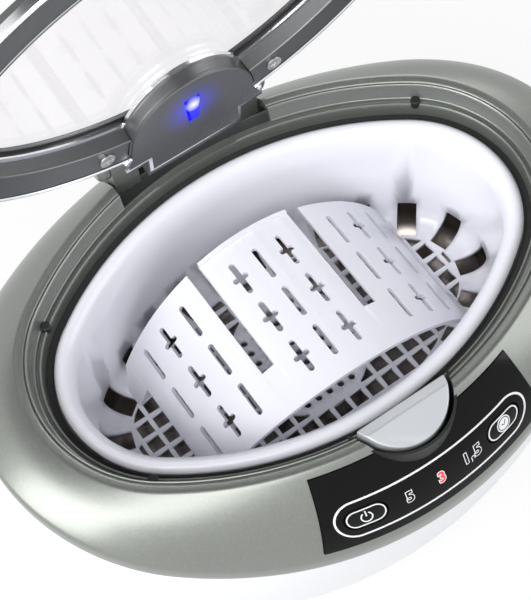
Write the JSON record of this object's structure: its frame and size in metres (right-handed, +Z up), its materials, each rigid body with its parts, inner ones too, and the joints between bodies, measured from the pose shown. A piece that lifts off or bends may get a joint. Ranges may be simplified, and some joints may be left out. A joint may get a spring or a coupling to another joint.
{
  "type": "ultrasonic cleaner",
  "caption": "Oval table-top ultrasonic cleaner with a hinged window lid, push latch, touch keys, steel tank, lift-out perforated basket and arched insert.",
  "frame": {"origin": "middle of the footprint, on the table", "axes": "+X to the right seen from the controls, +Y to the back, where the lid hinges, +Z up"},
  "size_m": [0.2106, 0.1586, 0.2273],
  "materials": {
    "silver_housing": "satin metallic",
    "white_housing": "satin",
    "base_plastic": "matte",
    "rubber": "matte",
    "steel": "satin",
    "screw_steel": "polished",
    "aluminium": "machined",
    "ceramic": "fired ceramic",
    "board_green": "lacquered",
    "ferrite": "fired",
    "capacitor_sleeve": "shrink sleeve",
    "black_plastic": "fine grain",
    "panel_black": "high gloss",
    "key_black": "high gloss",
    "lamp_red": "clear",
    "latch_silver": "satin metallic",
    "lid_grey": "satin metallic",
    "trim_chrome": "plated",
    "window_clear": "clear",
    "boss_grey": "satin metallic",
    "lens_blue": "lit",
    "basket_white": "polished"
  },
  "bodies": {
    "base": {"upper_housing": "silver_housing", "lower_housing": "white_housing", "base_plate": "base_plastic", "foot_front_left": "rubber", "foot_front_right": "rubber", "foot_back_left": "rubber", "foot_back_right": "rubber", "base_screws": "screw_steel", "tank": "steel", "tank_seal": "rubber", "transducer_horn": "aluminium", "piezo_rings": "ceramic", "transducer_backing": "steel", "transducer_bolt": "screw_steel", "driver_board": "board_green", "driver_transformer": "ferrite", "driver_capacitors": "capacitor_sleeve", "heat_sink": "aluminium", "power_inlet": "black_plastic", "control_panel": "panel_black", "control_board": "board_green", "key_switches": "black_plastic", "timer_lamps": "lamp_red", "latch_spring": "screw_steel", "hinge_block_left": "silver_housing", "hinge_block_right": "silver_housing", "hinge_pin_left": "silver_housing", "hinge_pin_right": "silver_housing", "lid_bumpers": "rubber"},
    "lid": {"lid_ring": "lid_grey", "lid_cover": "lid_grey", "lid_trim": "trim_chrome", "lid_window": "window_clear", "lamp_boss": "boss_grey", "lamp_lens": "lens_blue", "lamp_board": "board_green", "lid_screws": "screw_steel"},
    "latch": {"latch_button": "latch_silver"},
    "power_key": {"power_key": "key_black"},
    "timer_key": {"timer_key": "key_black"},
    "basket": {"basket": "basket_white"},
    "insert": {"insert": "basket_white"}
  },
  "joints": [
    {"name": "lid_hinge", "type": "hinge", "parent": "base", "child": "lid", "pos_m": [0, 0.0625, 0.114], "axis": [-1, 0, 0], "range_deg": [-85, 0]},
    {"name": "latch_press", "type": "slide", "parent": "base", "child": "latch", "axis": [0, 0, -1], "range_m": [0, 0.0012], "stiffness_N_per_m": 900, "springref_m": -0.001, "deforming": ["latch_spring"]},
    {"name": "power_key_press", "type": "slide", "parent": "base", "child": "power_key", "axis": [0, 0.8319, -0.5549], "range_m": [0, 0.0006], "stiffness_N_per_m": 1500, "springref_m": -0.0003},
    {"name": "timer_key_press", "type": "slide", "parent": "base", "child": "timer_key", "axis": [0, 0.8319, -0.5549], "range_m": [0, 0.0006], "stiffness_N_per_m": 1500, "springref_m": -0.0003},
    {"name": "basket_lift", "type": "slide", "parent": "base", "child": "basket", "axis": [0, -0.0872, 0.9962], "range_m": [0, 0.09]},
    {"name": "insert_lift", "type": "slide", "parent": "basket", "child": "insert", "axis": [0, 0, 1], "range_m": [0, 0.06]}
  ]
}
